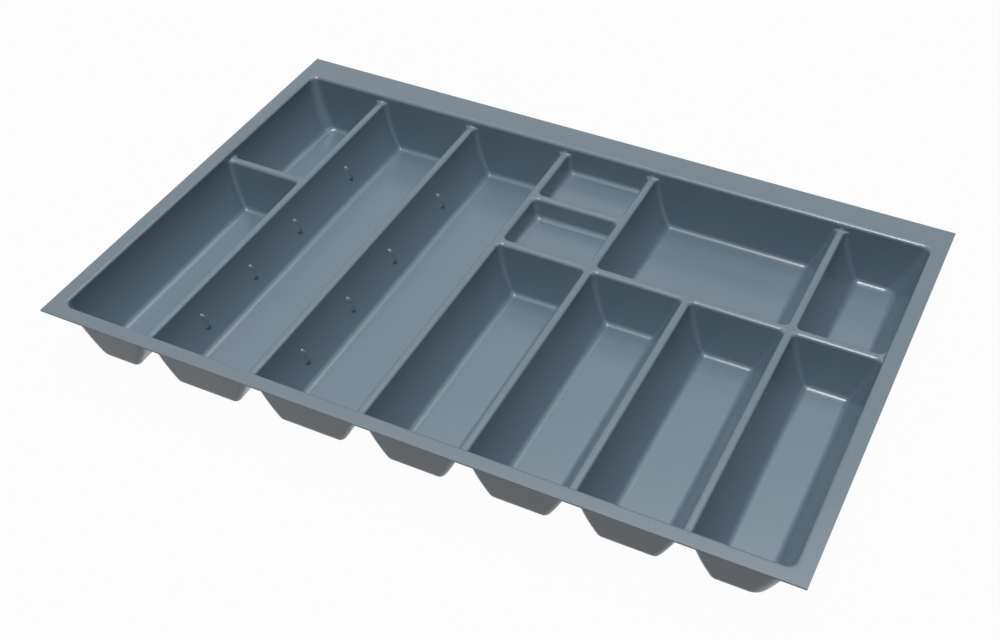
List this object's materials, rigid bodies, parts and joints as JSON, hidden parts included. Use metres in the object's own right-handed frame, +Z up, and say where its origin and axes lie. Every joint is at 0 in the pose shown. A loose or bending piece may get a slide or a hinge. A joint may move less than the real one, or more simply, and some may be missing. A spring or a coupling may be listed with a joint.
{
  "type": "cutlery tray",
  "caption": "Shallow drawer insert formed from thin plastic sheet: a flat flange around drafted, round-cornered open pockets parted by hollow rounded dividers, for sorting cutlery.",
  "frame": {"origin": "centre of the tray's plan outline, on the plane of the deep pockets' undersides, which the tray stands on", "axes": "+X along the width, to the right seen from the front; +Y from front to back; +Z up, out of the pockets' mouths"},
  "size_m": [0.73, 0.488, 0.0601],
  "materials": {
    "sheet": "satin blue-grey thermoformed plastic sheet"
  },
  "bodies": {
    "root": {"tub_left_back": "sheet", "tub_left_front": "sheet", "tub_long_left": "sheet", "tub_long_right": "sheet", "tub_small_back": "sheet", "tub_small_front": "sheet", "tub_wide_back": "sheet", "tub_front_a": "sheet", "tub_front_b": "sheet", "tub_front_c": "sheet", "tub_right_back": "sheet", "tub_right_front": "sheet", "rim_front": "sheet", "rim_back": "sheet", "rim_left": "sheet", "rim_right": "sheet", "lugs_long_left": "sheet", "lugs_long_right": "sheet"}
  },
  "joints": []
}
